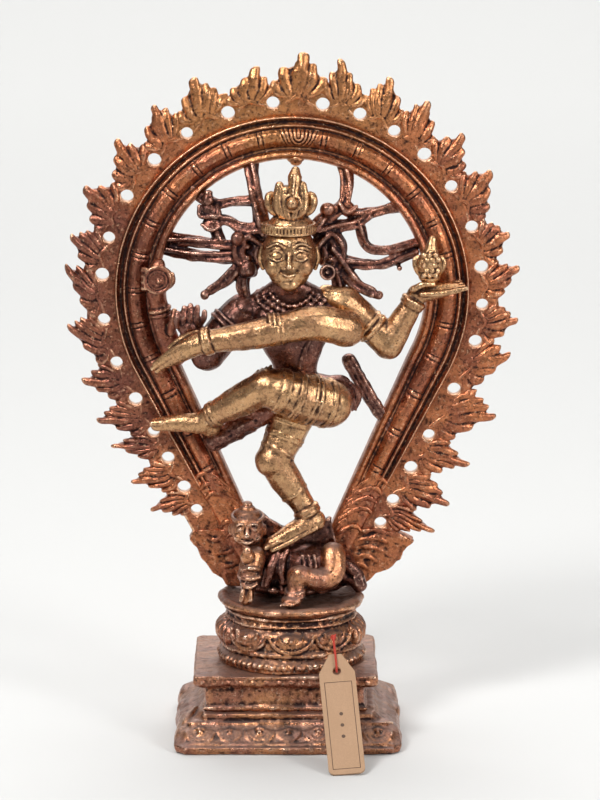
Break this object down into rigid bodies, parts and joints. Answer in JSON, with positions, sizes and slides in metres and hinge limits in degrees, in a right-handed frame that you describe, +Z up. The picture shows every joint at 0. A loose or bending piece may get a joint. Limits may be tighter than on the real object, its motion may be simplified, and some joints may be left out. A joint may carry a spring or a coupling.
{
  "type": "nataraja statue",
  "caption": "Cast copper and brass figure of a dancing four-armed deity in a ring of flames, on a lotus pedestal and stepped plinth, with a card tag on a thread.",
  "frame": {"origin": "centre of the plinth's flat underside, on the surface that the statue stands on", "axes": "+Z up, towards the top flame; -Y the way the figure faces; +X the viewer's right"},
  "size_m": [0.1194, 0.0692, 0.1799],
  "materials": {
    "copper": "antique reddish copper, worn bright on the ridges",
    "dark_copper": "dark brown and purple patina",
    "brass": "rubbed antique brass",
    "thread_red": "twisted orange-red thread",
    "kraft_card": "matt kraft card"
  },
  "bodies": {
    "statue": {"arch_band": "copper", "arch_flange": "copper", "crown": "brass", "dwarf_arm_cobra": "copper", "dwarf_bent_leg": "copper", "dwarf_body": "dark_copper", "dwarf_head": "copper", "earring": "brass", "flame_left_01": "copper", "flame_left_02": "copper", "flame_left_03": "copper", "flame_left_04": "copper", "flame_left_05": "copper", "flame_left_06": "copper", "flame_left_07": "copper", "flame_left_08": "copper", "flame_left_09": "copper", "flame_left_10": "copper", "flame_left_11": "copper", "flame_left_12": "copper", "flame_left_13": "copper", "flame_right_01": "copper", "flame_right_02": "copper", "flame_right_03": "copper", "flame_right_04": "copper", "flame_right_05": "copper", "flame_right_06": "copper", "flame_right_07": "copper", "flame_right_08": "copper", "flame_right_09": "copper", "flame_right_10": "copper", "flame_right_11": "copper", "flame_right_12": "copper", "flame_right_13": "copper", "flame_top": "copper", "front_left_arm": "brass", "front_right_arm": "dark_copper", "hair_locks_left": "dark_copper", "hair_locks_right": "dark_copper", "hand_drum": "copper", "hand_flame": "brass", "head": "brass", "hip_cloth": "dark_copper", "leaf_left": "copper", "leaf_right": "copper", "lotus_pedestal": "copper", "pedestal_rim": "dark_copper", "plinth_foot": "copper", "plinth_slab": "copper", "plinth_waist": "copper", "raised_leg": "brass", "rear_left_arm": "brass", "rear_right_arm": "copper", "sash_end": "dark_copper", "standing_leg": "brass", "torso": "dark_copper"},
    "tag_thread": {"thread_knot": "thread_red", "thread_loop": "thread_red"},
    "tag": {"hang_tag": "kraft_card"}
  },
  "joints": [
    {"name": "thread_swing", "type": "hinge", "parent": "statue", "child": "tag_thread", "pos_m": [0.01094, -0.017, 0.03012], "axis": [-1, 0, 0], "range_deg": [0, 70]},
    {"name": "tag_twist", "type": "hinge", "parent": "tag_thread", "child": "tag", "pos_m": [0.0119, -0.0243, 0.02195], "axis": [-0.0872, 0.664, 0.7426], "range_deg": [-35, 35]}
  ]
}
